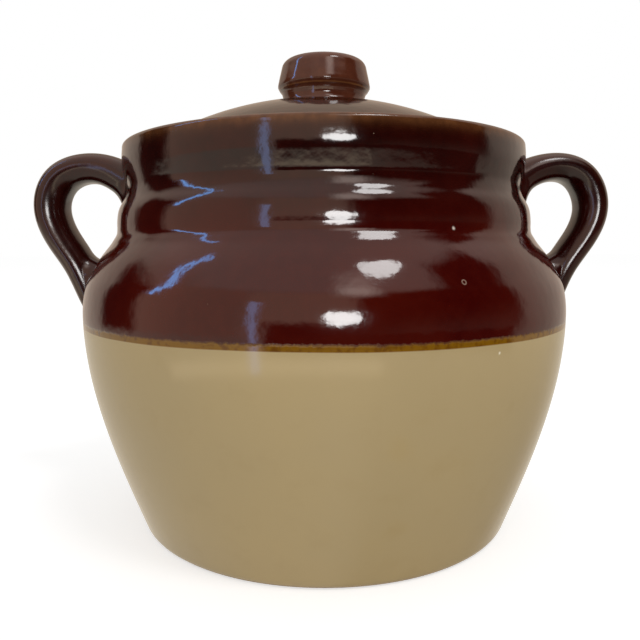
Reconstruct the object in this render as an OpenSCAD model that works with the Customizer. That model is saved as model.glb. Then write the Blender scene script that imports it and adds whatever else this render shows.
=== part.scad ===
// Two-handled stoneware bean pot with a loose, lift-off lid.
// Brown glaze above, tan glaze below, an ochre line where the two meet.
// Millimetres. Z is up, the pot stands on Z = 0, the handles lie along X.

/* [Body] */
// Radius of the ring that the pot stands on
foot_r = 76.6; // [68:0.2:84]
// Height of the rounded edge around the foot
foot_edge = 2.4; // [0.8:0.2:4]
// Radius of the belly at its widest
belly_r = 100.4; // [94:0.2:107]
// Height of the belly above the table
belly_z = 91.5; // [70:0.5:110]
// Thickness of the thrown wall
wall = 7.4; // [5:0.2:10]
// Thickness of the floor
floor_t = 9; // [6:0.5:14]
// Radius of the round corner where the wall meets the floor inside
floor_corner = 16; // [6:1:24]

/* [Shoulder and neck] */
// Radius of the haunch, where the belly turns into the shoulder
haunch_r = 96; // [94.4:0.2:97.6]
// Rise from the belly to the haunch
haunch_rise = 14.5; // [11:0.5:18]
// Lean of the haunch, away from upright
haunch_lean = 31.5; // [24:0.5:36]
// Radius of the shoulder where it leans most
shoulder_r = 88.7; // [87.4:0.1:90]
// Rise from the haunch to that place
shoulder_rise = 10.5; // [8:0.5:14]
// Lean of the shoulder at that place
shoulder_lean = 37; // [30:1:42]
// Radius of the upright throwing step above the shoulder
step_r = 86.2; // [84.8:0.1:87]
// Rise from the shoulder to the step
step_rise = 5.5; // [4:0.5:8]
// Height of the step
step_band = 5.4; // [3:0.2:8]
// Height of the flare that leans in from the step to the neck groove
flare_band = 4.6; // [3:0.2:7]
// Lean of the flare
flare_lean = 22; // [12:1:28]
// Radius at the bottom of the neck groove
groove_r = 82.8; // [81.6:0.1:83.6]
// Height of the round corner at each end of the flare
flare_corner = 3.4; // [2:0.2:5]

/* [Rim] */
// Radius of the upright rim band
rim_r = 83.7; // [82:0.1:88]
// Rise from the neck groove to the rim band
rim_rise = 8; // [6:0.2:11]
// Lean of the undercut below the rim band
undercut_lean = 11.5; // [4:0.5:16]
// Height of the straight part of the rim band
rim_band = 6.6; // [3:0.1:9]
// Radius of the rim's rounded outer edge
rim_edge = 2.8; // [1.5:0.1:4]
// Radius of the rim's rounded inner edge
rim_lip = 1.4; // [0.8:0.1:2]
// Thickness of the rim outside the lid
rim_wall = 6.2; // [5:0.2:8]
// Depth of the lid's seat below the rim's top
seat_depth = 8.6; // [7:0.2:11]
// Width of the ledge that carries the lid
seat_ledge = 6.6; // [5:0.2:9]
// Height of the mouth's straight throat below the ledge
throat = 8; // [6:0.5:12]

/* [Handles] */
// How far the left handle stands out past the belly
left_out = 24.5; // [18:0.1:34]
// The same of the right handle, luted on by hand a little closer
right_out = 21.6; // [17:0.1:32]
// Thickness of the handle's strap
strap_t = 12; // [8:0.5:14]
// Width of the handle's strap
strap_w = 19.8; // [14:0.2:26]
// Squareness of the strap's section, 2 for an oval
strap_square = 2.8; // [2:0.1:5]
// Drop of the handle's crown below the rim's top
crown_drop = 0.8; // [0:0.1:4]
// Distance of the handle's crown from the neck groove
crown_out = 19; // [14:0.2:23]
// Drop from the handle's crown to its outermost place
bow_drop = 15; // [12:0.2:19]
// Height of the handle's tail above the belly
tail_rise = 3.5; // [0:0.5:7]
// Stand-off of the left tail's centre from the belly
left_tail = 1; // [-3:0.1:3]
// Stand-off of the right tail's centre from the belly
right_tail = -1.4; // [-3:0.1:3]

/* [Lid] */
// Running gap between the lid's edge and the rim
lid_gap = 0.8; // [0.4:0.1:1.4]
// Radius of the sphere that the lid's dome is part of
dome_sphere = 134.5; // [122:0.5:170]
// Height of the lid's upright edge above its seat
lid_edge = 4; // [3:0.1:5]
// Radius of the rounding over the lid's edge
edge_round = 1.6; // [0.6:0.1:2]
// Thickness of the lid's dome
lid_t = 6; // [4.5:0.25:8]
// Gap between the lid's locating ring and the throat
ring_gap = 1.3; // [0.8:0.1:2.5]
// Thickness of the locating ring
ring_t = 5; // [3.5:0.5:7]
// Radius of the locating ring's rounded lower edges
ring_round = 1.5; // [0.5:0.1:1.6]
// Depth of the locating ring below the seat
ring_depth = 6; // [3:0.5:9]

/* [Knob] */
// Radius of the knob's neck where it meets the lid
knob_neck_r = 16.8; // [14:0.1:18]
// Radius of the knob's sharp lower edge
knob_r = 19.7; // [18.5:0.1:24]
// Height of the lower edge above the top of the dome
knob_edge_z = 6.5; // [5:0.1:9]
// Height of the knob above the top of the dome
knob_h = 18.4; // [16:0.1:26]
// Radius of the knob's top corner
knob_corner = 4.4; // [2:0.1:6]
// How much the knob narrows from its lower edge to its top
knob_taper = 1.9; // [0:0.1:3]
// Rise of the knob's slightly crowned top
knob_crown = 0.6; // [0.2:0.1:1.5]

/* [Glaze] */
// Height of the lower edge of the ochre line
glaze_z = 84.6; // [40:0.2:100]
// Width of the ochre line
glaze_line = 2.2; // [1:0.1:5]

/* [Hidden] */

brown = "#3b1712";
ochre = "#7a5208";
tan = "#a89372";

bend_run = 8.5;     // longest straight run in a bend of a turned outline
bend_least = 5;     // fewest straight runs in a bend
arc_steps = 5;      // straight runs in a rounded edge
dome_steps = 14;    // straight runs across the lid's dome
strap_steps = 8;    // rings in each bend of a handle
strap_sides = 20;   // sides of a handle's section
turned = 180;       // faces drawn around a turned piece

// Headings are in degrees: 0 = away from the axis, 90 = straight up
up = 90;
down = 270;
edge_heading = 20;      // of the foot's rounded edge where it leaves the table
foot_heading = 69.5;    // of the wall where it leaves the foot
step_heading = 93;      // of the upright throwing step
neck_heading = 290;     // of the inside where it opens out below the throat
undercut_share = 0.57;  // share of the way from groove to rim band at which the undercut leans most

root_heading = 32;      // of the strap where it leaves the wall under the rim
arm_heading = -128;     // of the strap halfway down to its tail
tail_heading = -109;    // of the strap where the tail lies on the belly
sunk_heading = -102;    // of the tail's end, smeared out in the wall
root_spread = [1.55, 1.25];   // thickness and width of the root, in strap sizes
tail_spread = [1, 0.95];      // the same where the tail lies on the belly
sunk_spread = [0.35, 0.5];    // the same at the tail's end
arm_share = 0.45;       // share of the way from tail up to bow where the arm's heading is set
arm_inset = 0.3;        // how far the arm lies inside a straight line there

dome_inset = 0.4;       // start of the dome inside the edge's rounding, in its radii
edge_arc = 60;          // degrees of the rounding before the dome takes over
knob_sink = 1;          // depth of the knob neck's foot below the top of the dome
knob_foot_heading = 88; // of the knob's neck at its foot
knob_flare = 48;        // heading of the neck where it meets the sharp edge
knob_bevel = [0.3, 0.6];      // width and height of the bevel under the sharp edge
knob_lean = 7;          // inward lean of the knob's side at its top corner
crown_lean = 4;         // slope of the crowned top where it meets the corner

floor_centre = [foot_r - floor_corner, floor_t + floor_corner];
haunch_z = belly_z + haunch_rise;
shoulder_z = haunch_z + shoulder_rise;
step_z = shoulder_z + step_rise;
flare_z = step_z + step_band + flare_corner;
groove_z = flare_z + flare_band + flare_corner;
rim_z = groove_z + rim_rise;
flare_in = (step_r - groove_r - flare_band * tan(flare_lean)) / 2;
pot_top = rim_z + rim_band + rim_edge;

seat_z = pot_top - seat_depth;
seat_r = rim_r - rim_wall;
throat_r = seat_r - seat_ledge;
lid_r = seat_r - lid_gap;
ring_r = throat_r - ring_gap;

dome_r = lid_r - edge_round;                  // the dome starts inside the rounded edge
dome_foot_z = seat_z + lid_edge + edge_round;
dome_centre_z = dome_foot_z - sqrt(pow(dome_sphere, 2) - pow(dome_r, 2));
dome_top = dome_centre_z + dome_sphere;

// A place on an outline is [radius, height, heading].
// Length of the straight line between two places
function run_between(a, b) = norm([b[0] - a[0], b[1] - a[1]]);

// Points of one smooth bend from place a to place b, without its last point
function bend(a, b, steps) =
    let (run = run_between(a, b))
    [for (i = [0 : steps - 1])
        let (t = i / steps, u = 1 - t)
        [for (k = [0, 1])
            let (out = k == 0 ? cos(a[2]) : sin(a[2]), back = k == 0 ? cos(b[2]) : sin(b[2]))
            (1 + 2 * t) * u * u * a[k] + t * u * u * run * out
            + t * t * (3 - 2 * t) * b[k] - t * t * u * run * back]];

// Points of the bends through a whole list of places
function turned_line(places) = [
    for (i = [0 : len(places) - 2])
        let (steps = max(bend_least, ceil(run_between(places[i], places[i + 1]) / bend_run)))
        each bend(places[i], places[i + 1], steps),
    [places[len(places) - 1][0], places[len(places) - 1][1]]];

// Points of a round corner about c, from one angle to another
function corner(c, r, from, to) =
    [for (i = [0 : arc_steps])
        let (a = from + (to - from) * i / arc_steps) c + r * [cos(a), sin(a)]];

// Outside of the pot from the foot to the rim band
function pot_places() = [
    [foot_r, 0, edge_heading],
    [foot_r + foot_edge, foot_edge, foot_heading],
    [belly_r, belly_z, up],
    [haunch_r, haunch_z, up + haunch_lean],
    [shoulder_r, shoulder_z, up + shoulder_lean],
    [step_r, step_z, step_heading],
    [step_r, step_z + step_band, step_heading],
    [step_r - flare_in, flare_z, up + flare_lean],
    [groove_r + flare_in, flare_z + flare_band, up + flare_lean],
    [groove_r, groove_z, up],
    [groove_r + (rim_r - groove_r) * undercut_share, groove_z + rim_rise * undercut_share,
        up - undercut_lean],
    [rim_r, rim_z, up]];

function pot_outside() = concat(
    turned_line(pot_places()),
    corner([rim_r - rim_edge, pot_top - rim_edge], rim_edge, 0, 90));

// Inside of the pot from the rim's lip down over the seat to the floor
function pot_inside() = concat(
    corner([seat_r + rim_lip, pot_top - rim_lip], rim_lip, 90, 180),
    [[seat_r, seat_z], [throat_r, seat_z]],
    turned_line([
        [throat_r, seat_z - throat, down],
        [step_r - wall, step_z - wall / 2, neck_heading],
        [belly_r - wall, belly_z, down],
        concat(floor_centre + floor_corner * [sin(foot_heading), -cos(foot_heading)],
            [180 + foot_heading])]),
    corner(floor_centre, floor_corner, foot_heading - 90, -90));

// The pot without its hollow, which the handles are cut to
module solid_pot() {
    rotate_extrude($fn = turned)
        polygon(concat([[0, 0]], pot_outside(), [[0, pot_top]]));
}

module thrown_pot() {
    rotate_extrude($fn = turned)
        polygon(concat([[0, 0]], pot_outside(), pot_inside(), [[0, floor_t]]));
}

// The children between two heights, where one glaze lies
module glazed(from_z, to_z) {
    intersection() {
        children();
        translate([0, 0, from_z])
            cylinder(r = belly_r + 2 * wall, h = to_z - from_z, $fn = turned);
    }
}

module pot_body() {
    color(tan) glazed(0, glaze_z) thrown_pot();
    color(ochre) glazed(glaze_z, glaze_z + glaze_line) thrown_pot();
    color(brown) glazed(glaze_z + glaze_line, pot_top) thrown_pot();
}

// Half the size of a strap's section towards a given angle, along its own x or y
function strap_point(half_t, half_w, angle) =
    let (c = cos(angle), s = sin(angle), p = 2 / strap_square)
    [half_t * sign(c) * pow(abs(c), p), half_w * sign(s) * pow(abs(s), p)];

// One ring of a strap at a place, its thickness and width spread by the two given shares
function strap_ring(place, spread) = [
    for (i = [0 : strap_sides - 1])
        let (q = strap_point(strap_t * spread[0] / 2, strap_w * spread[1] / 2, 360 * i / strap_sides))
        [place[0] - q[0] * sin(place[2]), q[1], place[1] + q[0] * cos(place[2])]];

// Value between a and b with a smooth start and end
function ease(a, b, t) = a + (b - a) * t * t * (3 - 2 * t);

// Rings through stations of [place, spread]
function strap_rings(stations) = [
    for (i = [0 : len(stations) - 2])
        let (
            a = stations[i],
            b = stations[i + 1],
            line = concat(bend(a[0], b[0], strap_steps), [[b[0][0], b[0][1]]]),
            last = i == len(stations) - 2 ? strap_steps : strap_steps - 1)
        for (k = [0 : last])
            let (
                t = k / strap_steps,
                before = line[max(k - 1, 0)],
                after = line[min(k + 1, strap_steps)],
                heading = k == 0 ? a[0][2] : k == strap_steps ? b[0][2]
                    : atan2(after[1] - before[1], after[0] - before[0]))
            strap_ring([line[k][0], line[k][1], heading], ease(a[1], b[1], t))];

module swept(rings) {
    sides = len(rings[0]);
    count = len(rings);
    skin = [
        for (j = [0 : count - 2]) for (i = [0 : sides - 1])
            let (n = (i + 1) % sides, p = j * sides, q = p + sides)
            each [[p + i, q + i, q + n], [p + i, q + n, p + n]]];
    ends = [
        [for (i = [0 : sides - 1]) i],
        [for (i = [0 : sides - 1]) count * sides - 1 - i]];
    polyhedron(points = [for (ring = rings) each ring], faces = concat(skin, ends));
}

// Handle along +X, from under the rim round to its tail above the belly
module strap_handle(out, tail) {
    crown_z = pot_top - crown_drop - strap_t / 2;
    bow_z = crown_z - bow_drop;
    tail_z = belly_z + tail_rise;
    bow_r = belly_r + out - strap_t / 2;
    arm_z = tail_z + (bow_z - tail_z) * arm_share;
    arm_r = (bow_r + belly_r + tail) / 2 - arm_inset;
    stations = [
        [[groove_r - wall / 2, crown_z - strap_t / 2, root_heading], root_spread],
        [[groove_r + crown_out, crown_z, 0], [1, 1]],
        [[bow_r, bow_z, -90], [1, 1]],
        [[arm_r, arm_z, arm_heading], [1, 1]],
        [[belly_r + tail, tail_z, tail_heading], tail_spread],
        [[belly_r - wall / 2, tail_z - strap_t, sunk_heading], sunk_spread]];
    difference() {
        swept(strap_rings(stations));
        solid_pot();
    }
}

module left_handle() {
    color(brown) mirror([1, 0, 0]) strap_handle(left_out, left_tail);
}

module right_handle() {
    color(brown) strap_handle(right_out, right_tail);
}

// Points of the dome's outside at a depth below it, from one radius to another
function dome_line(depth, from_r, to_r) =
    let (sphere = dome_sphere - depth)
    [for (i = [0 : dome_steps])
        let (r = from_r + (to_r - from_r) * i / dome_steps)
        [r, dome_centre_z + sqrt(sphere * sphere - r * r)]];

// Outside of the lid from its rounded edge up over the dome
function lid_outside() = concat(
    corner([dome_r, seat_z + lid_edge], edge_round, 0, edge_arc),
    dome_line(0, dome_r - edge_round * dome_inset, 0));

// The space under the dome's outside, which the knob stands on
module solid_dome() {
    rotate_extrude($fn = turned)
        polygon(concat([[0, seat_z], [lid_r, seat_z]], lid_outside()));
}

module lid() {
    ring_in = ring_r - ring_t;
    ring_low = seat_z - ring_depth + ring_round;
    color(brown)
        rotate_extrude($fn = turned)
            polygon(concat(
                corner([ring_in + ring_round, ring_low], ring_round, 180, 270),
                corner([ring_r - ring_round, ring_low], ring_round, 270, 360),
                [[ring_r, seat_z], [lid_r, seat_z]],
                lid_outside(),
                dome_line(lid_t, 0, ring_in)));
}

module lid_knob() {
    edge_z = dome_top + knob_edge_z;
    top_z = dome_top + knob_h;
    top_r = knob_r - knob_taper;
    corner_z = top_z - knob_crown - knob_corner;
    color(brown)
        difference() {
            rotate_extrude($fn = turned)
                polygon(concat(
                    [[0, dome_top - lid_t / 2], [knob_neck_r, dome_top - lid_t / 2]],
                    turned_line([
                        [knob_neck_r, dome_top - knob_sink, knob_foot_heading],
                        [knob_r - knob_bevel[0], edge_z - knob_bevel[1], knob_flare]]),
                    turned_line([
                        [knob_r, edge_z, up],
                        [top_r, corner_z, up + knob_lean]]),
                    corner([top_r - knob_corner, corner_z], knob_corner, knob_lean, 90 - crown_lean),
                    turned_line([
                        [top_r - knob_corner, corner_z + knob_corner, 180 - crown_lean],
                        [0, top_z, 180]])));
            solid_dome();
        }
}

pot_body();
left_handle();
right_handle();
lid();
lid_knob();
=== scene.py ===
import math

import bpy
import numpy as np
from mathutils import Matrix, Vector


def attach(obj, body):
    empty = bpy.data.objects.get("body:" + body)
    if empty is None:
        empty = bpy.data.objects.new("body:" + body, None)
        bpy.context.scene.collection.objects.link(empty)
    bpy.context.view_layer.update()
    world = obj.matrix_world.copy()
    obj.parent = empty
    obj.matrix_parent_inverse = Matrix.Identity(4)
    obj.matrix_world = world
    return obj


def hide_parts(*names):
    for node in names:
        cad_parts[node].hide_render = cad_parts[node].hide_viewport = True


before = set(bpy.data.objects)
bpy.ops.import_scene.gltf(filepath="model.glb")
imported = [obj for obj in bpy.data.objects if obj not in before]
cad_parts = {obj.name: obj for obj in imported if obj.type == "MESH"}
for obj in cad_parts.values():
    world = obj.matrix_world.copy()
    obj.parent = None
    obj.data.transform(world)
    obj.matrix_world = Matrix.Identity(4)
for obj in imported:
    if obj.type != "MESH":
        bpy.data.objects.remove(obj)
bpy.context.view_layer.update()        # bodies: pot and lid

mm = 0.001               # outlines are written in millimetres
print("frame loaded:", sorted(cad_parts))


# Drawing with a profile

def heading(degrees):
    return np.array([math.cos(math.radians(degrees)), math.sin(math.radians(degrees))])


def bendLine(places, step):
    # one smooth line through places of (radius, height, heading in degrees)
    line = []
    for (r0, z0, h0), (r1, z1, h1) in zip(places, places[1:]):
        run = math.dist((r0, z0), (r1, z1))
        leave = run * heading(h0)
        arrive = run * heading(h1)
        count = max(4, math.ceil(run / step))
        for t in np.arange(count) / count:
            u = 1 - t
            here = (1 + 2 * t) * u * u * np.array([r0, z0]) + t * u * u * leave
            line.append(here + t * t * (3 - 2 * t) * np.array([r1, z1]) - t * t * u * arrive)
    line.append(np.array(places[-1][:2], float))
    return line


def roundEdge(centre, radius, start, end, steps=7):
    return [np.array(centre) + radius * heading(angle) for angle in np.linspace(start, end, steps)]


def straight(start, end, step):
    # leaves out its last place, which the next stretch brings
    start, end = np.array(start), np.array(end)
    count = max(1, math.ceil(math.dist(start, end) / step))
    return [start + (end - start) * i / count for i in range(count)]


def cleanLine(line, least=0.02):
    # drops a place that lies on the one before it
    kept = [line[0]]
    for point in line[1:]:
        if math.dist(point, kept[-1]) > least:
            kept.append(point)
    return np.array(kept)


def newPiece(name, points, faces, marks, body, nodeName):
    mesh = bpy.data.meshes.new(name)
    mesh.from_pydata([tuple(p * mm) for p in points], [], faces)
    for label, values in marks.items():
        attribute = mesh.attributes.new(label, "FLOAT", "POINT")
        attribute.data.foreach_set("value", np.array(values, np.float32))
    mesh.shade_smooth()
    mesh.validate()
    piece = bpy.data.objects.new(name, mesh)
    bpy.context.scene.collection.objects.link(piece)
    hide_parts(nodeName)
    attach(piece, body)
    return piece


def leanOver(points, lean, start, setIn=3):
    # the potter's hand: what stands above the start leans a little to the right
    for point in points:
        share = min(max((point[2] - start) / setIn, 0), 1)
        point += share * lean * np.array([point[2] - start, 0, -point[0]])


def turnedPiece(name, outline, marks, form, body, nodeName):
    # turns an outline that starts and ends on the axis
    # the waver, of three and five swells round the wall, only ever draws it in
    sides = form["sides"]
    ring = outline[1:-1]
    turn = np.arange(sides) * 2 * math.pi / sides
    drawnIn = form["waver"] * (0.5 + 0.3 * np.sin(3 * turn + 0.7) + 0.2 * np.sin(5 * turn + 2.1))
    points = [np.array([0, 0, outline[0][1]])]
    values = {label: [f(*outline[0])] for label, f in marks.items()}
    for r, z in ring:
        for angle, inward in zip(turn, drawnIn):
            points.append(np.array([(r - inward) * math.cos(angle), (r - inward) * math.sin(angle), z]))
        for label, f in marks.items():
            values[label] += [f(r, z)] * sides
    points.append(np.array([0, 0, outline[-1][1]]))
    for label, f in marks.items():
        values[label].append(f(*outline[-1]))
    last = len(points) - 1
    top = 1 + (len(ring) - 1) * sides
    faces = []
    for i in range(sides):
        j = (i + 1) % sides
        faces.append((0, 1 + j, 1 + i))
        for low in range(1, top, sides):
            faces.append((low + i, low + j, low + sides + j, low + sides + i))
        faces.append((top + i, top + j, last))
    if "lean" in form:
        leanOver(points, form["lean"], form["leanFrom"])
    return newPiece(name, points, faces, values, body, nodeName)


# Where the glaze runs thin, as a share from 0 to 1: round a spot of the outline, or in a band of heights

def near(value, place, width):
    return math.exp(-((value - place) / width) ** 2)


def thinAt(r, z, spot):
    return spot["share"] * near(math.dist((r, z), spot["at"]), 0, spot["width"])


def thinBand(z, band):
    return band["share"] * near(z, band["z"], band["width"])


# The thrown pot

potForm = {
    "outside": [                    # radius, height, heading
        (76.6, 0.0, 20),            # foot
        (79.0, 2.4, 69.5),          # above its rounded edge
        (100.4, 88.5, 90),          # belly
        (99.55, 97.6, 100.7),
        (97.6, 103.4, 118),         # haunch
        (94.05, 109.7, 122),
        (90.95, 114.0, 128),        # shoulder
        (87.9, 118.1, 119),
        (86.3, 121.3, 94),          # throwing step
        (86.15, 123.3, 88),
        (86.0, 126.8, 96.5),
        (85.4, 130.0, 108),
        (84.0, 132.9, 122.5),       # flare
        (82.75, 135.4, 108),
        (82.05, 138.6, 90),         # neck groove
        (82.45, 141.0, 78.5),       # undercut below the rim band
        (83.33, 145.3, 78.5),
        (83.6, 147.6, 86),
        (83.6, 151.2, 90.5),        # barrel of the rim
        (83.35, 154.37, 95),
    ],
    "top": 156.2, "edge": 1.7, "edgeStart": 5, "lip": 1.4,
    "seatR": 77.5, "seatZ": 147.6, "throatR": 70.9, "throatEnd": 139.6, "seatRound": 0.8,
    "inside": [(78.8, 118.3, 290), (93.0, 91.5, 270), (75.59, 19.4, 249.5)],
    "floorZ": 9.0, "floorRound": 16.0, "floorCentre": (60.6, 25.0), "floorStart": -20.5,
    "dishR": 68.0, "dishDepth": 0.8, "dishSlope": 2.0,
    "bareTo": 1.3, "wipeSoft": 0.4,             # the glaze is wiped off the foot up to here
    "seatSoft": 0.3,                            # what lies this close to the seat's height is bare
    "rimFrom": 80.0,                            # the thin edge and band lie outside this radius
    "thinEdge": {"at": (82.6, 155.2), "width": 1.7, "share": 0.35},
    "thinBand": {"z": 154.5, "width": 2.6, "share": 0.12},
    "thinLip": {"at": (77.9, 155.8), "width": 1.2, "share": 0.6},
    "sides": 192, "step": 1.0, "waver": 0.05,
}


def potLines(p):
    # the outline from the middle of the underside up the wall and down to the floor, and the wall alone
    outside = bendLine(p["outside"], p["step"])
    edgeCentre = (p["outside"][-1][0] - p["edge"], p["top"] - p["edge"])
    rimEdge = roundEdge(edgeCentre, p["edge"], p["edgeStart"], 90, 12)
    lip = roundEdge((p["seatR"] + p["lip"], p["top"] - p["lip"]), p["lip"], 90, 180)
    soft = p["seatRound"]
    seat = (roundEdge((p["seatR"] - soft, p["seatZ"] + soft), soft, 0, -90, 5)
            + roundEdge((p["throatR"] + soft, p["seatZ"] - soft), soft, 90, 180, 5))
    inner = bendLine([(p["throatR"], p["throatEnd"], 270)] + p["inside"], 2 * p["step"])
    floorCorner = roundEdge(p["floorCentre"], p["floorRound"], p["floorStart"], -90, 12)
    floor = straight(floorCorner[-1], (0, p["floorZ"]), 6) + [np.array([0, p["floorZ"]])]
    dishEdge = p["dishR"] - p["dishSlope"]
    under = ([np.array([0, p["dishDepth"]])]
             + straight((6, p["dishDepth"]), (dishEdge, p["dishDepth"]), 8)
             + bendLine([(dishEdge, p["dishDepth"], 0), (p["dishR"], 0, 0)], 0.5))
    footRing = straight((p["dishR"], 0), p["outside"][0][:2], 2)
    whole = cleanLine(under + footRing + outside + rimEdge + lip + seat + inner + floorCorner + floor)
    return whole, cleanLine(outside + rimEdge[:5])


def potBare(r, z):
    # bare clay on the foot and on the ledge that carries the lid
    p = potForm
    if abs(z - p["seatZ"]) < p["seatSoft"] and p["throatR"] < r < p["seatR"]:
        return 1.0
    return min(max((p["bareTo"] - z) / p["wipeSoft"], 0.0), 1.0)


def potThin(r, z):
    onLip = thinAt(r, z, potForm["thinLip"])
    if r <= potForm["rimFrom"]:
        return onLip
    return max(thinAt(r, z, potForm["thinEdge"]) + thinBand(z, potForm["thinBand"]), onLip)


potOutline, wallLine = potLines(potForm)
potMarks = {"bare": potBare, "thin": potThin}
turnedPiece("thrown_pot", potOutline, potMarks, potForm, "pot", "pot_body")
print("pot turned:", len(potOutline), "places in its outline")


# The two luted handles

handleForm = {
    "wideAt": 0.1, "keenness": 1.8, "squareness": 2.9,   # of the strap's section: its edges, its faces
    "webFrom": 0.55,                # the share of the section that counts as the finger side
    "sunk": 0.7, "toe": 0.5,        # how far the last ring goes into the wall, and on past the fillet
    "ridgeAt": 0.62, "ridgeWidth": 0.16, "ridgeHeight": 0.18,   # soft lengthwise ridge of the pulled strap
    "ridgeThin": 0.12,
    "around": 72, "along": 150, "endRings": 8,
}

# A root or tail has a small fillet where it meets the wall. On the finger side the clay forms a web, which
# leaves the strap "back" before the wall, bends "bend" before it and reaches "reach" along it.
# Guides pull the strap's middle line: radius, height, thickness, width. A search that matched the strap's
# outline to the photograph gave height and thickness in the third to tenth, and radius in the fourth to
# tenth. Four radii of the left handle were then moved in a little. The other numbers were chosen one by one.
handleSides = {
    "left_loop": {
        "way": -1, "node": "left_handle",
        "root": {"fillet": 1.6, "back": 9, "bend": 4, "reach": 5},
        "tail": {"fillet": 2.6, "back": 15, "bend": 7, "reach": 9},
        "guides": [
            (57, 121, 17, 24), (68, 133, 17, 24), (79, 139.9, 15.9, 24),
            (89.6, 148.1, 14, 21.5), (101.7, 150.7, 12, 20), (115, 146, 13.7, 19.8),
            (119.9, 132.1, 13.5, 19.8), (114, 118.5, 12.8, 19.8), (106, 108.3, 12.6, 19.5),
            (101, 91.3, 10.9, 18), (96, 80, 7, 12), (91, 68, 5, 9),
            (86, 56, 4, 8),
        ],
    },
    "right_loop": {
        "way": 1, "node": "right_handle",
        "root": {"fillet": 1.6, "back": 9, "bend": 4.5, "reach": 6},
        "tail": {"fillet": 2.2, "back": 12, "bend": 6, "reach": 7},
        "guides": [
            (57, 121, 17, 24), (68, 133, 17, 24), (79, 139.8, 15.1, 24),
            (88, 147.7, 12.5, 21.5), (101.9, 150.5, 11.3, 20), (112.7, 145.2, 12.8, 19.8),
            (117.4, 131.4, 12.6, 19.8), (111.9, 118.6, 11.8, 19.8), (103.2, 107.8, 11.8, 19.5),
            (99, 94.2, 10.1, 18), (96, 80, 7, 12), (91, 68, 5, 9),
            (86, 56, 4, 8),
        ],
    },
}


def strapPath(guides, steps=24):
    # one smooth line along the strap's middle, drawn towards the guides, with its headings
    guides = np.array(guides, float)
    line, headings = [], []
    for four in zip(guides, guides[1:], guides[2:], guides[3:]):
        for t in np.arange(steps) / steps:
            u = 1 - t
            pulls = np.array([u ** 3, 3 * t ** 3 - 6 * t * t + 4, 3 * u ** 3 - 6 * u * u + 4, t ** 3])
            slopes = np.array([-u * u, 3 * t * t - 4 * t, 4 * u - 3 * u * u, t * t])
            line.append(pulls @ np.array(four) / 6)
            onward = slopes @ np.array(four)
            headings.append(math.atan2(onward[1], onward[0]))
    return np.array(line), np.array(headings)


def strapLines(strap, guides):
    # gives lines[k][i], place k along the strap on sideline i around its section, and then
    # how much each sideline belongs to the ridge and to the web
    middle, headings = strapPath(guides)
    angle = np.arange(strap["around"]) * 2 * math.pi / strap["around"]
    c, s = np.cos(angle), np.sin(angle)
    reach = np.where(c > 0, 1 - strap["wideAt"], 1 + strap["wideAt"])
    flat = strap["wideAt"] + reach * np.sign(c) * np.abs(c) ** (2 / strap["keenness"])
    broad = np.sign(s) * np.abs(s) ** (2 / strap["squareness"])
    ridge = np.exp(-((flat - strap["ridgeAt"]) / strap["ridgeWidth"]) ** 2)
    ridge = ridge * np.clip(np.abs(broad) * 3 - 2, 0, 1)
    out = middle[:, 2:3] / 2 * flat[None, :]
    over = middle[:, 3:] / 2 * broad[None, :] + strap["ridgeHeight"] * np.sign(broad) * ridge
    x = middle[:, :1] - out * np.sin(headings)[:, None]
    z = middle[:, 1:2] + out * np.cos(headings)[:, None]
    return np.stack([x, over, z], 2), ridge, np.clip(-c / strap["webFrom"], 0, 1) ** 1.5


def wallRadius(z):
    return np.interp(z, wallLine[:, 1], wallLine[:, 0])


def overWall(points):
    # how far points stand out from the pot's wall
    return np.hypot(points[..., 0], points[..., 1]) - wallRadius(points[..., 2])


def ontoWall(point, lift=0.0):
    r = wallRadius(point[2]) + lift
    return np.array([point[0], point[1], 0]) * r / math.hypot(point[0], point[1]) + np.array([0, 0, point[2]])


def wallNormal(point):
    slope = wallRadius(point[2] + 0.5) - wallRadius(point[2] - 0.5)
    normal = np.array([point[0], point[1], -slope * math.hypot(point[0], point[1])])
    return normal / np.linalg.norm(normal)


def placeOn(line, run, distance):
    return np.array([np.interp(distance, run, line[:, axis]) for axis in range(3)])


def sidelineEnd(line, run, towards, k, way, end, web, strap):
    # the rings where one sideline meets the wall between places k and k + way; web is its share of the web
    stand = overWall(line[[k, k + way]])
    share = stand[0] / (stand[0] - stand[1])
    meet = line[k] + (line[k + way] - line[k]) * share
    metAt = run[k] + (run[k + way] - run[k]) * share
    fillet = end["fillet"] * (1 - web)
    startAt = metAt - way * (fillet + end["back"] * web)
    start = placeOn(line, run, startAt)
    bend = placeOn(line, run, metAt - way * end["bend"] * web)
    normal = wallNormal(meet)
    aside = towards[k] - normal * np.dot(towards[k], normal)
    aside = aside / max(np.linalg.norm(aside), 1e-6)
    reach = fillet + end["reach"] * web
    foot = ontoWall(meet + aside * reach)
    rings = []
    for t in np.linspace(0, 1, strap["endRings"] + 1)[1:]:
        rings.append((1 - t) ** 2 * start + 2 * t * (1 - t) * bend + t * t * foot)
    rings.append(ontoWall(meet + aside * (reach + strap["toe"]), -strap["sunk"]))
    return startAt, rings


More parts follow.
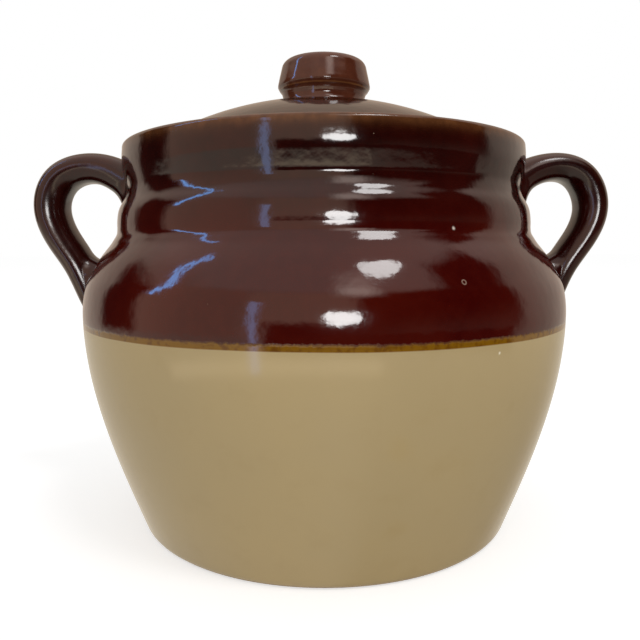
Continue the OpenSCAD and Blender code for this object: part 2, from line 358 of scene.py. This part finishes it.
def strapGrid(strap, side):
    # the strap's rings from root to tail, trimmed to the wall
    lines, ridge, webs = strapLines(strap, side["guides"])
    alongWay = np.gradient(lines, axis=0)
    aroundWay = (np.roll(lines, -1, 1) - np.roll(lines, 1, 1)) / 2
    normals = np.cross(alongWay, aroundWay)
    normals /= np.linalg.norm(normals, axis=2, keepdims=True)
    fingerSide = normals[:, strap["around"] // 2]
    middle = len(lines) // 2
    columns = []
    for i, web in enumerate(webs):
        line = lines[:, i]
        stand = overWall(line)
        run = np.concatenate([[0], np.cumsum(np.linalg.norm(np.diff(line, axis=0), axis=1))])
        lastRoot = next(k for k in range(middle, 0, -1) if stand[k - 1] < 0)
        lastTail = next(k for k in range(middle, len(line) - 1) if stand[k + 1] < 0)
        towards = normals[:, i] * (1 - web) + fingerSide * web
        rootAt, root = sidelineEnd(line, run, towards, lastRoot, -1, side["root"], web, strap)
        tailAt, tail = sidelineEnd(line, run, towards, lastTail, 1, side["tail"], web, strap)
        between = [placeOn(line, run, s) for s in np.linspace(rootAt, tailAt, strap["along"])]
        columns.append(root[::-1] + between + tail)
    return np.array(columns).transpose(1, 0, 2) * np.array([side["way"], 1, 1]), ridge


def strapHandle(name, strap, side):
    grid, ridge = strapGrid(strap, side)
    rings, around = grid.shape[:2]
    points = list(grid.reshape(-1, 3)) + [grid[0].mean(0), grid[-1].mean(0)]
    faces = []
    for k in range(rings - 1):
        for i in range(around):
            j = (i + 1) % around
            face = (k * around + i, k * around + j, (k + 1) * around + j, (k + 1) * around + i)
            faces.append(face[::side["way"]])
    endRing = (rings - 1) * around
    for i in range(around):
        j = (i + 1) % around
        faces.append((i, rings * around, j)[::side["way"]])
        faces.append((endRing + j, rings * around + 1, endRing + i)[::side["way"]])
    thin = list(np.tile(strap["ridgeThin"] * ridge, rings)) + [0, 0]
    marks = {"bare": [0] * len(points), "thin": thin}
    return newPiece(name, points, faces, marks, "pot", side["node"])


for name, side in handleSides.items():
    strapHandle(name, handleForm, side)
print("handles pulled and luted on")


# The lid

lidForm = {
    "r": 76.7, "seatZ": 147.6, "edge": 4.0, "round": 1.6, "sphere": 134.5, "inset": 0.4, "edgeArc": 60,
    "thick": 6.0, "ringR": 69.6, "ringThick": 5.0, "ringRound": 1.5, "ringDepth": 6.0, "ringFillet": 1.2,
    "restRound": 0.5,
    "bareTo": 1.2, "bareIn": 0.6,               # bare this far above the seat and inside the ring's edge
    "thinEdge": {"at": (76.3, 152.5), "width": 1.5, "share": 1.0},
    "sides": 192, "waver": 0.05, "lean": 0.011, "leanFrom": 150.0,
}


def domeHeight(lid, r, depth=0.0):
    # of the dome's outside, or of what lies at a depth under it
    domeR = lid["r"] - lid["round"]
    centre = lid["seatZ"] + lid["edge"] + lid["round"] - math.sqrt(lid["sphere"] ** 2 - domeR ** 2)
    return centre + math.sqrt((lid["sphere"] - depth) ** 2 - r * r)


def domeLine(lid, depth, start, end, step=1.5):
    count = max(2, math.ceil(abs(end - start) / step))
    return [np.array([r, domeHeight(lid, r, depth)]) for r in np.linspace(start, end, count + 1)]


def lidLine(lid):
    # from the middle of its hollow, round the ring and the edge, to the top of the dome
    ringR, seatZ, r, soft = lid["ringR"], lid["seatZ"], lid["r"], lid["restRound"]
    ringIn = ringR - lid["ringThick"]
    ringLow = seatZ - lid["ringDepth"] + lid["ringRound"]
    edgeTop = seatZ + lid["edge"]
    domeR = r - lid["round"]
    return cleanLine(
        domeLine(lid, lid["thick"], 0, ringIn - lid["ringFillet"])
        + roundEdge((ringIn + lid["ringRound"], ringLow), lid["ringRound"], 180, 270)
        + roundEdge((ringR - lid["ringRound"], ringLow), lid["ringRound"], 270, 360)
        + straight((ringR, ringLow), (ringR, seatZ - 1), 1)
        + roundEdge((ringR + 1, seatZ - 1), 1, 180, 90, 5)
        + straight((ringR + 1, seatZ), (r - soft, seatZ), 1.5)
        + roundEdge((r - soft, seatZ + soft), soft, -90, 0, 4)
        + straight((r, seatZ + soft), (r, edgeTop), 1)
        + roundEdge((domeR, edgeTop), lid["round"], 0, lid["edgeArc"])
        + domeLine(lid, 0, domeR - lid["round"] * lid["inset"], 0))


def lidBare(r, z):
    onRest = z < lidForm["seatZ"] + lidForm["bareTo"] and r > lidForm["ringR"] - lidForm["bareIn"]
    return 1.0 if onRest else 0.0


def lidThin(r, z):
    return thinAt(r, z, lidForm["thinEdge"])


lidMarks = {"bare": lidBare, "thin": lidThin}
turnedPiece("domed_lid", lidLine(lidForm), lidMarks, lidForm, "lid", "lid")
print("lid turned, dome top at %.1f mm" % domeHeight(lidForm, 0))


# The knob, luted on top of the lid

knobForm = {
    "foot": 1.3, "footDip": 0.05, "footHeading": 160,   # glaze fillet at the knob's foot
    "sunk": 0.5,                                 # its underside lies this far inside the dome
    "neck": [(17.3, 177.6, 90), (17.7, 179.5, 78), (18.75, 181.1, 42)],
    "lowEdge": [(18.9, 181.35, 62), (19.6, 182.9, 91)],
    "side": [(19.6, 182.9, 91), (19.25, 184.9, 101), (17.97, 190.6, 102)],
    "corner": 4.0, "cornerEnd": 85, "top": 194.5,
    "thinEdge": {"at": (18.85, 181.25), "width": 0.26, "share": 1.0},   # sharp lower edge
    "thinBand": {"z": 192, "width": 1.5, "share": 0.12},
    "sides": 144, "waver": 0.04, "lean": 0.011, "leanFrom": 150.0,
}


def knobLine(knob, lid):
    footR = knob["neck"][0][0] + knob["foot"]
    footZ = domeHeight(lid, footR)
    sideR, sideZ, sideHeading = knob["side"][-1]
    lean = sideHeading - 90
    cornerCentre = np.array([sideR, sideZ]) - knob["corner"] * heading(lean)
    corner = roundEdge(cornerCentre, knob["corner"], lean, knob["cornerEnd"], 14)
    return cleanLine(
        domeLine(lid, knob["sunk"], 0, footR)
        + bendLine([(footR, footZ - knob["footDip"], knob["footHeading"]), knob["neck"][0]], 0.3)
        + bendLine(knob["neck"], 0.3)
        + bendLine(knob["lowEdge"], 0.25)
        + bendLine(knob["side"], 0.6)
        + corner
        + bendLine([(*corner[-1], knob["cornerEnd"] + 90), (0, knob["top"], 180)], 1.0))


def knobBare(r, z):
    return 0.0


def knobThin(r, z):
    return max(thinAt(r, z, knobForm["thinEdge"]), thinBand(z, knobForm["thinBand"]))


knobOutline = knobLine(knobForm, lidForm)
knobMarks = {"bare": knobBare, "thin": knobThin}
turnedPiece("turned_knob", knobOutline, knobMarks, knobForm, "lid", "lid_knob")
print("knob turned")


# Glazes

def feed(tree, socket, value):
    if isinstance(value, bpy.types.NodeSocket):
        tree.links.new(value, socket)
    else:
        socket.default_value = value


def addNode(tree, kind, inputs=None, **settings):
    made = tree.nodes.new(kind)
    for key, value in settings.items():
        setattr(made, key, value)
    for key, value in (inputs or {}).items():
        feed(tree, made.inputs[key], value)
    return made


def maths(tree, operation, a, b=0.0, clamp=False):
    made = addNode(tree, "ShaderNodeMath", {0: a, 1: b}, operation=operation)
    made.use_clamp = clamp
    return made.outputs[0]


def remap(tree, value, low, high, toLow=0.0, toHigh=1.0):
    inputs = {"Value": value, "From Min": low, "From Max": high, "To Min": toLow, "To Max": toHigh}
    return addNode(tree, "ShaderNodeMapRange", inputs, interpolation_type="SMOOTHSTEP").outputs[0]


def blendColours(tree, factor, a, b):
    made = addNode(tree, "ShaderNodeMix", data_type="RGBA")
    for key, value in ((0, factor), (6, a), (7, b)):
        feed(tree, made.inputs[key], value)
    return made.outputs[2]


def blendValues(tree, factor, a, b):
    made = addNode(tree, "ShaderNodeMix", data_type="FLOAT")
    for key, value in ((0, factor), (2, a), (3, b)):
        feed(tree, made.inputs[key], value)
    return made.outputs[0]


def noise(tree, where, scale, detail=2.0, rough=0.5, warp=0.0):
    inputs = {"Vector": where, "Scale": scale, "Detail": detail, "Roughness": rough, "Distortion": warp}
    return addNode(tree, "ShaderNodeTexNoise", inputs).outputs[0]


def swing(tree, where, scale, detail, rough, size):
    # a noise that swings to both sides of zero
    centred = maths(tree, "SUBTRACT", noise(tree, where, scale, detail, rough), 0.5)
    return maths(tree, "MULTIPLY", centred, size)


def newGroup(name, inputs, outputs):
    group = bpy.data.node_groups.new(name, "ShaderNodeTree")
    kinds = {float: "NodeSocketFloat", tuple: "NodeSocketColor", type(None): "NodeSocketVector"}
    for label, value in inputs.items():
        socket = group.interface.new_socket(label, in_out="INPUT", socket_type=kinds[type(value)])
        if value is not None:
            socket.default_value = value
    for label, kind in outputs.items():
        group.interface.new_socket(label, in_out="OUTPUT", socket_type=kind)
    return group, group.nodes.new("NodeGroupInput").outputs, group.nodes.new("NodeGroupOutput").inputs


def useGroup(tree, group, inputs):
    made = tree.nodes.new("ShaderNodeGroup")
    made.node_tree = group
    for key, value in inputs.items():
        feed(tree, made.inputs[key], value)
    return made.outputs


def makeGlazePeel():
    # the glaze's fine pebbling and its slow swell, as a height in millimetres
    tree, given, out = newGroup(
        "glazePeel",
        {"Where": None, "Pebble Scale": 420.0, "Pebble Height": 0.004, "Ripple Scale": 150.0,
         "Ripple Height": 0.02, "Swell Scale": 30.0, "Swell Height": 0.05},
        {"Height": "NodeSocketFloat"})
    total = None
    for label, detail in (("Pebble", 1.0), ("Ripple", 1.0), ("Swell", 0.0)):
        bumps = noise(tree, given["Where"], given[label + " Scale"], detail)
        layer = maths(tree, "MULTIPLY", bumps, given[label + " Height"])
        total = layer if total is None else maths(tree, "ADD", total, layer)
    feed(tree, out["Height"], total)
    return tree


def makeGlazeBreak():
    # an iron glaze: deep where it lies thick, amber where it runs thin
    tree, given, out = newGroup(
        "glazeBreak",
        {"Where": None, "Deep": (0.03, 0.003, 0.001, 1), "Warm": (0.06, 0.012, 0.005, 1),
         "Amber": (0.3, 0.12, 0.02, 1), "Thin": 0.0, "Cloud Scale": 22.0, "Fleck Scale": 260.0,
         "Fleck Strength": 0.35},
        {"Color": "NodeSocketColor"})
    clouds = remap(tree, noise(tree, given["Where"], given["Cloud Scale"], 3.0, 0.55, 0.4), 0.35, 0.68)
    flecks = remap(tree, noise(tree, given["Where"], given["Fleck Scale"], 2.0, 0.6), 0.3, 0.75)
    mottled = blendColours(tree, clouds, given["Deep"], given["Warm"])
    flecked = maths(tree, "MULTIPLY", flecks, given["Fleck Strength"])
    mottled = blendColours(tree, flecked, mottled, given["Warm"])
    broken = maths(tree, "MULTIPLY", given["Thin"], remap(tree, flecks, 0.0, 1.0, 0.75, 1.2), True)
    feed(tree, out["Color"], blendColours(tree, broken, mottled, given["Amber"]))
    return tree


def makeSpecks():
    # small round spots, thinly strewn
    tree, given, out = newGroup(
        "specks", {"Where": None, "Scale": 150.0, "Size": 0.12, "Share": 0.15}, {"Mask": "NodeSocketFloat"})
    cells = addNode(tree, "ShaderNodeTexVoronoi", {"Vector": given["Where"], "Scale": given["Scale"]})
    chance = addNode(tree, "ShaderNodeSeparateColor", {0: cells.outputs["Color"]}).outputs[0]
    chosen = maths(tree, "LESS_THAN", chance, given["Share"])
    sized = maths(tree, "MULTIPLY", given["Size"], remap(tree, chance, 0.0, given["Share"], 0.45, 1.0))
    spot = maths(tree, "SUBTRACT", 1.0, maths(tree, "DIVIDE", cells.outputs["Distance"], sized), True)
    feed(tree, out["Mask"], maths(tree, "MULTIPLY", remap(tree, spot, 0.0, 0.45), chosen))
    return tree


def makeMark():
    # one round mark: a dot, or a ring where it has a radius
    tree, given, out = newGroup(
        "mark", {"Where": None, "Centre": None, "Radius": 0.0, "Width": 0.001}, {"Mask": "NodeSocketFloat"})
    ends = {0: given["Where"], 1: given["Centre"]}
    apart = addNode(tree, "ShaderNodeVectorMath", ends, operation="DISTANCE").outputs["Value"]
    off = maths(tree, "ABSOLUTE", maths(tree, "SUBTRACT", apart, given["Radius"]))
    feed(tree, out["Mask"], remap(tree, off, given["Width"], 0.0))
    return tree


def makeBareClay():
    # unglazed stoneware: its colour and its grain
    tree, given, out = newGroup(
        "bareClay",
        {"Where": None, "Body": (0.42, 0.31, 0.18, 1), "Grain": (0.22, 0.14, 0.07, 1), "Grain Scale": 900.0,
         "Grain Height": 0.08},
        {"Color": "NodeSocketColor", "Height": "NodeSocketFloat"})
    grain = noise(tree, given["Where"], given["Grain Scale"], 3.0, 0.6)
    feed(tree, out["Color"], blendColours(tree, remap(tree, grain, 0.45, 0.8), given["Body"], given["Grain"]))
    feed(tree, out["Height"], maths(tree, "MULTIPLY", grain, given["Grain Height"]))
    return tree


glazePeel = makeGlazePeel()
glazeBreak = makeGlazeBreak()
specks = makeSpecks()
mark = makeMark()
bareClay = makeBareClay()

clay = {"roughness": 0.75, "grainScale": 900.0, "grainHeight": 0.08}
brownGlaze = {
    "deep": (0.011, 0.0008, 0.0004, 1), "warm": (0.028, 0.0022, 0.0010, 1), "amber": (0.21, 0.080, 0.025, 1),
    "roughness": 0.085, "cloudScale": 20.0, "fleckScale": 240.0,
    "peel": {"Pebble Scale": 640.0, "Pebble Height": 0.016, "Ripple Scale": 200.0, "Ripple Height": 0.07,
             "Swell Scale": 34.0, "Swell Height": 0.22},
}


def brownParts(tree, where, thin, glaze, deep=None, warm=None):
    colour = useGroup(tree, glazeBreak, {
        "Where": where, "Deep": deep or glaze["deep"], "Warm": warm or glaze["warm"],
        "Amber": glaze["amber"], "Thin": thin,
        "Cloud Scale": glaze["cloudScale"], "Fleck Scale": glaze["fleckScale"]})["Color"]
    height = useGroup(tree, glazePeel, dict({"Where": where}, **glaze["peel"]))["Height"]
    return colour, height


def startMaterial(name):
    material = bpy.data.materials.new(name)
    material.use_nodes = True
    tree = material.node_tree
    shader = tree.nodes["Principled BSDF"]
    where = addNode(tree, "ShaderNodeTexCoord").outputs["Object"]
    bare = addNode(tree, "ShaderNodeAttribute", attribute_name="bare").outputs["Fac"]
    thin = addNode(tree, "ShaderNodeAttribute", attribute_name="thin").outputs["Fac"]
    return material, tree, shader, where, bare, thin


def finishSurface(tree, shader, where, bare, colour, roughness, height):
    # lays the bare clay over the glaze where the mask says so
    clayBody = useGroup(tree, bareClay, {
        "Where": where, "Grain Scale": clay["grainScale"], "Grain Height": clay["grainHeight"]})
    bareSharp = remap(tree, bare, 0.4, 0.6)
    feed(tree, shader.inputs["Base Color"], blendColours(tree, bareSharp, colour, clayBody["Color"]))
    feed(tree, shader.inputs["Roughness"], blendValues(tree, bareSharp, roughness, clay["roughness"]))
    relief = blendValues(tree, bareSharp, height, clayBody["Height"])
    bump = addNode(tree, "ShaderNodeBump", {"Strength": 1.0, "Distance": mm, "Height": relief})
    feed(tree, shader.inputs["Normal"], bump.outputs[0])


def makeBrownMaterial(name, glaze):
    material, tree, shader, where, bare, thin = startMaterial(name)
    colour, height = brownParts(tree, where, thin, glaze)
    finishSurface(tree, shader, where, bare, colour, glaze["roughness"], height)
    return material


# The pot's own finish: brown above, a thin ochre line, tan below, brown again inside

bellyGlaze = {                      # the brown is thinner and warmer low down, and changes from low to high
    "deep": (0.036, 0.0008, 0.0002, 1), "warm": (0.056, 0.0034, 0.0010, 1), "low": 112.0, "high": 142.0,
}
tanGlaze = {
    "base": (0.428, 0.315, 0.149, 1), "cool": (0.405, 0.304, 0.153, 1), "cloudScale": 14.0,
    "patchy": (0.385, 0.280, 0.130, 1), "patchScale": 75.0, "patchShare": 0.45,
    "speck": (0.12, 0.07, 0.03, 1), "speckScale": 130.0, "speckSize": 0.07, "speckShare": 0.12,
    "speckStrength": 0.6, "speckPit": 0.03,
    "roughness": 0.13,
    "peel": {"Pebble Scale": 700.0, "Pebble Height": 0.006, "Ripple Scale": 150.0, "Ripple Height": 0.02,
             "Swell Scale": 22.0, "Swell Height": 0.08},
}
ochreLine = {
    "low": 84.6, "high": 86.6, "soft": 0.2, "brownSoft": 0.5,
    "wave": 1.2, "waveScale": 12.0, "ragged": 1.65, "raggedScale": 620.0,
    "base": (0.190, 0.083, 0.002, 1), "dark": (0.120, 0.042, 0.001, 1), "darkScale": 420.0, "roughness": 0.1,
}
insideGlaze = {"r": 70.5, "from": 8.0}          # the inside is brown down to the floor
paleFlecks = {"scale": 260.0, "size": 0.09, "share": 0.05, "colour": (0.20, 0.13, 0.09, 1)}
firingMarks = [                     # centre (worked out from the photograph), radius, width, colour
    {"at": (41.8, -75.8, 121.0), "radius": 0.0, "width": 0.9, "colour": (0.80, 0.70, 0.60, 1)},
    {"at": (42.9, -87.2, 104.2), "radius": 0.75, "width": 0.35, "colour": (0.26, 0.17, 0.13, 1)},
    {"at": (55.2, -83.6, 81.7), "radius": 0.0, "width": 0.7, "colour": (0.80, 0.72, 0.55, 1)},
    {"at": (23.1, -92.9, 53.3), "radius": 0.0, "width": 6.5, "colour": (0.410, 0.302, 0.143, 1)},
    {"at": (22.8, -83.6, 23.6), "radius": 0.0, "width": 5.5, "colour": (0.398, 0.292, 0.138, 1)},
]
markStray = {"scale": 260.0, "share": 0.9}      # how far a mark's outline strays, as a share of its width


def makeSpeckMask(tree, where, scale, size, share):
    return useGroup(tree, specks, {"Where": where, "Scale": scale, "Size": size, "Share": share})["Mask"]


def potBrown(tree, where, thin, high):
    upper = remap(tree, high, bellyGlaze["low"], bellyGlaze["high"])
    deep = blendColours(tree, upper, bellyGlaze["deep"], brownGlaze["deep"])
    warm = blendColours(tree, upper, bellyGlaze["warm"], brownGlaze["warm"])
    brown, height = brownParts(tree, where, thin, brownGlaze, deep, warm)
    flecks = makeSpeckMask(tree, where, paleFlecks["scale"], paleFlecks["size"], paleFlecks["share"])
    return blendColours(tree, flecks, brown, paleFlecks["colour"]), height


def potTan(tree, where, g):
    clouds = remap(tree, noise(tree, where, g["cloudScale"], 3.0), 0.3, 0.7)
    tan = blendColours(tree, clouds, g["base"], g["cool"])
    patches = remap(tree, noise(tree, where, g["patchScale"], 4.0, 0.6), 0.48, 0.78)
    tan = blendColours(tree, maths(tree, "MULTIPLY", patches, g["patchShare"]), tan, g["patchy"])
    dots = makeSpeckMask(tree, where, g["speckScale"], g["speckSize"], g["speckShare"])
    tan = blendColours(tree, maths(tree, "MULTIPLY", dots, g["speckStrength"]), tan, g["speck"])
    height = useGroup(tree, glazePeel, dict({"Where": where}, **g["peel"]))["Height"]
    return tan, maths(tree, "SUBTRACT", height, maths(tree, "MULTIPLY", dots, g["speckPit"]))


def ochreMasks(tree, where, high, g):
    # where the ochre starts and where the brown starts over it
    lowEdge = maths(tree, "ADD", high, swing(tree, where, g["waveScale"], 2.0, 0.5, g["wave"]))
    highEdge = maths(tree, "ADD", lowEdge, swing(tree, where, g["raggedScale"], 3.0, 0.65, g["ragged"]))
    ochreMask = remap(tree, lowEdge, g["low"] - g["soft"], g["low"] + g["soft"])
    brownMask = remap(tree, highEdge, g["high"] - g["brownSoft"], g["high"] + g["brownSoft"])
    return ochreMask, brownMask


def insideMask(tree, xyz, high):
    squares = [maths(tree, "MULTIPLY", xyz[axis], xyz[axis]) for axis in "XY"]
    radius = maths(tree, "SQRT", maths(tree, "ADD", *squares))
    within = maths(tree, "LESS_THAN", radius, insideGlaze["r"] * mm)
    aboveFoot = maths(tree, "GREATER_THAN", high, insideGlaze["from"])
    return maths(tree, "MULTIPLY", within, aboveFoot)


def addFiringMarks(tree, where, colour):
    inputs = {"Vector": where, "Scale": markStray["scale"], "Detail": 2.0}
    strayNoise = addNode(tree, "ShaderNodeTexNoise", inputs).outputs[1]
    inputs = {0: strayNoise, 1: (0.5, 0.5, 0.5)}
    stray = addNode(tree, "ShaderNodeVectorMath", inputs, operation="SUBTRACT").outputs[0]
    for m in firingMarks:
        far = m["width"] * markStray["share"] * mm
        inputs = {0: stray, 1: (far, far, far), 2: where}
        moved = addNode(tree, "ShaderNodeVectorMath", inputs, operation="MULTIPLY_ADD").outputs[0]
        mask = useGroup(tree, mark, {
            "Where": moved, "Centre": [c * mm for c in m["at"]],
            "Radius": m["radius"] * mm, "Width": m["width"] * mm})["Mask"]
        colour = blendColours(tree, mask, colour, m["colour"])
    return colour


def makePotMaterial(name):
    material, tree, shader, where, bare, thin = startMaterial(name)
    xyz = addNode(tree, "ShaderNodeSeparateXYZ", {0: where}).outputs
    high = maths(tree, "DIVIDE", xyz["Z"], mm)
    brown, brownHeight = potBrown(tree, where, thin, high)
    tan, tanHeight = potTan(tree, where, tanGlaze)
    darker = remap(tree, noise(tree, where, ochreLine["darkScale"], 3.0), 0.45, 0.7)
    ochre = blendColours(tree, darker, ochreLine["base"], ochreLine["dark"])
    ochreMask, brownMask = ochreMasks(tree, where, high, ochreLine)
    colour = blendColours(tree, ochreMask, tan, ochre)
    colour = blendColours(tree, brownMask, colour, brown)
    colour = blendColours(tree, insideMask(tree, xyz, high), colour, brown)
    colour = addFiringMarks(tree, where, colour)
    roughness = blendValues(tree, ochreMask, tanGlaze["roughness"], ochreLine["roughness"])
    roughness = blendValues(tree, brownMask, roughness, brownGlaze["roughness"])
    height = blendValues(tree, brownMask, tanHeight, brownHeight)
    finishSurface(tree, shader, where, bare, colour, roughness, height)
    return material


handleGlaze = dict(brownGlaze, cloudScale=30.0, roughness=0.18)
lidGlaze = dict(brownGlaze, cloudScale=24.0)
knobGlaze = dict(brownGlaze, cloudScale=45.0, deep=(0.060, 0.013, 0.006, 1), warm=(0.105, 0.030, 0.014, 1))

handleFinish = makeBrownMaterial("handleGlaze", handleGlaze)
finishes = {
    "thrown_pot": makePotMaterial("potGlaze"),
    "left_loop": handleFinish,
    "right_loop": handleFinish,
    "domed_lid": makeBrownMaterial("lidGlaze", lidGlaze),
    "turned_knob": makeBrownMaterial("knobGlaze", knobGlaze),
}
for name, material in finishes.items():
    bpy.data.objects[name].data.materials.append(material)
print("glazed")


# Floor

floorLook = {"size": 30.0, "below": 0.0001, "grey": 0.72, "roughness": 0.9, "cameraLift": 0.56}


def makeFloor(s):
    half = s["size"] / 2
    corners = [(-half, -half, 0), (half, -half, 0), (half, half, 0), (-half, half, 0)]
    mesh = bpy.data.meshes.new("floor")
    mesh.from_pydata(corners, [], [(0, 1, 2, 3)])
    floor = bpy.data.objects.new("floor", mesh)
    floor.location.z = -s["below"]
    floor.visible_glossy = False        # the gloss sees the table of the surroundings instead
    bpy.context.scene.collection.objects.link(floor)
    material = bpy.data.materials.new("paleFloor")
    material.use_nodes = True
    tree = material.node_tree
    shader = tree.nodes["Principled BSDF"]
    shader.inputs["Base Color"].default_value = (s["grey"], s["grey"], s["grey"], 1)
    shader.inputs["Roughness"].default_value = s["roughness"]
    shader.inputs["Specular IOR Level"].default_value = 0.0
    shader.inputs["Emission Color"].default_value = (1, 1, 1, 1)
    seen = addNode(tree, "ShaderNodeLightPath").outputs["Is Camera Ray"]
    feed(tree, shader.inputs["Emission Strength"], maths(tree, "MULTIPLY", seen, s["cameraLift"]))
    mesh.materials.append(material)


# Surroundings: only the gloss sees them, and the rest gets one even light from all round

fill = 0.60
ceiling = (1.05, 0.82, 0.73, 1)
surroundings = {                # azimuth from the camera's side, + to the right, and height, in degrees
    "backWall": {"azimuth": (-400, 400), "height": (-90, 38), "colour": (0.70, 0.58, 0.48, 1), "soft": 10},
    "backLeft": {"azimuth": (-400, -140), "height": (10, 50), "colour": (0.56, 0.43, 0.33, 1), "soft": 8},
    "backRight": {"azimuth": (140, 400), "height": (10, 50), "colour": (0.56, 0.43, 0.33, 1), "soft": 8},
    "leftWall": {"azimuth": (-92, -35), "height": (-90, 40), "colour": (0.95, 0.63, 0.49, 1), "soft": 5},
    "frontWall": {"azimuth": (-35, 16), "height": (-90, 40), "colour": (1.15, 0.80, 0.62, 1), "soft": 5},
    "darkRight": {"azimuth": (14, 97), "height": (-7, 38), "colour": (0.012, 0.010, 0.010, 1), "soft": 5},
    "darkHigh": {"azimuth": (66, 101), "height": (30, 51), "colour": (0.02, 0.015, 0.015, 1), "soft": 5},
    "darkLow": {"azimuth": (-25, 18), "height": (-8, 4), "colour": (0.03, 0.02, 0.02, 1), "soft": 3},
    "darkLeft": {"azimuth": (-118, -91), "height": (-14, 30), "colour": (0.02, 0.015, 0.015, 1), "soft": 4},
    "table": {"azimuth": (-400, 400), "height": (-120, -7), "colour": (0.80, 0.72, 0.60, 1), "soft": 2},
    "tableRight": {"azimuth": (25, 140), "height": (-120, -7), "colour": (0.36, 0.31, 0.25, 1), "soft": 20},
    "tableGlow": {"azimuth": (-72, 26), "height": (-20, -15.5), "colour": (2.2, 1.85, 1.35, 1), "soft": 2},
    "darkBand": {"azimuth": (-25, 90), "height": (-13, -4), "colour": (0.03, 0.02, 0.02, 1), "soft": 1.5},
    "softPane": {"azimuth": (8, 27), "height": (35, 53), "colour": (3.6, 3.0, 2.7, 1), "soft": 7},
    "paleStrip": {"azimuth": (-32, -28.5), "height": (-20, 22), "colour": (2.0, 2.5, 4.2, 1), "soft": 1.2},
    "skySlit": {"azimuth": (-88, -84.5), "height": (20, 54), "colour": (2.0, 4.6, 10.0, 1), "soft": 0.9},
}


def makeWorld():
    world = bpy.data.worlds.new("softStudio")
    bpy.context.scene.world = world
    world.use_nodes = True
    world.cycles.sampling_method = "NONE"
    tree = world.node_tree
    shader = tree.nodes["Background"]
    way = addNode(tree, "ShaderNodeTexCoord").outputs["Generated"]
    xyz = addNode(tree, "ShaderNodeSeparateXYZ", {0: way}).outputs
    around = maths(tree, "ARCTAN2", xyz["X"], maths(tree, "MULTIPLY", xyz["Y"], -1.0))
    azimuth = maths(tree, "MULTIPLY", around, 180 / math.pi)
    height = maths(tree, "MULTIPLY", maths(tree, "ARCSINE", xyz["Z"]), 180 / math.pi)
    seen = ceiling
    for card in surroundings.values():
        soft = card["soft"]
        mask = None
        for value, (low, high) in ((azimuth, card["azimuth"]), (height, card["height"])):
            rising = remap(tree, value, low - soft, low + soft)
            falling = remap(tree, value, high - soft, high + soft, 1.0, 0.0)
            band = maths(tree, "MULTIPLY", rising, falling)
            mask = band if mask is None else maths(tree, "MULTIPLY", mask, band)
        seen = blendColours(tree, mask, seen, card["colour"])
    path = addNode(tree, "ShaderNodeLightPath").outputs
    light = blendColours(tree, path["Is Glossy Ray"], (fill, fill, fill, 1), seen)
    feed(tree, shader.inputs["Color"], blendColours(tree, path["Is Camera Ray"], light, (1, 1, 1, 1)))


# Lamps and camera

lampAway = 2.5
aim = Vector((0, 0, 0.11))
lamps = {                       # azimuth, height and size in degrees as the pot sees them
    "windowLamp": {"azimuth": 8, "height": 7.5, "across": 16, "tall": 11, "strength": 20},
    "highLamp": {"azimuth": 38, "height": 57, "across": 16, "tall": 12, "strength": 12},
}
cameraPlace = {
    "at": (0, -0.284, 0.114), "turn": 0.347, "tilt": 83.83, "roll": -0.22,
    "lens": 36.17, "sensor": 36, "nearest": 0.01,
}


def makeLamp(name, s):
    around, up = math.radians(s["azimuth"]), math.radians(s["height"])
    way = Vector((math.cos(up) * math.sin(around), -math.cos(up) * math.cos(around), math.sin(up)))
    data = bpy.data.lights.new(name, "AREA")
    data.shape = "ELLIPSE"
    data.size = 2 * lampAway * math.tan(math.radians(s["across"] / 2))
    data.size_y = 2 * lampAway * math.tan(math.radians(s["tall"] / 2))
    data.energy = s["strength"] * math.pi * math.pi / 4 * data.size * data.size_y
    lamp = bpy.data.objects.new(name, data)
    lamp.location = aim + way * lampAway
    lamp.rotation_euler = way.to_track_quat("Z", "Y").to_euler()
    lamp.visible_camera = False
    bpy.context.scene.collection.objects.link(lamp)


def turned(degrees, axis):
    return Matrix.Rotation(math.radians(degrees), 4, axis)


def makeCamera(s):
    data = bpy.data.cameras.new("camera")
    data.lens = s["lens"]
    data.sensor_width = s["sensor"]
    data.clip_start = s["nearest"]
    camera = bpy.data.objects.new("camera", data)
    aimed = turned(s["turn"], "Z") @ turned(s["tilt"], "X") @ turned(s["roll"], "Z")
    camera.matrix_world = Matrix.Translation(s["at"]) @ aimed
    bpy.context.scene.collection.objects.link(camera)
    bpy.context.scene.camera = camera


makeFloor(floorLook)
makeWorld()
for name, s in lamps.items():
    makeLamp(name, s)
makeCamera(cameraPlace)
bpy.context.scene.view_settings.view_transform = "Standard"
print("stage set")
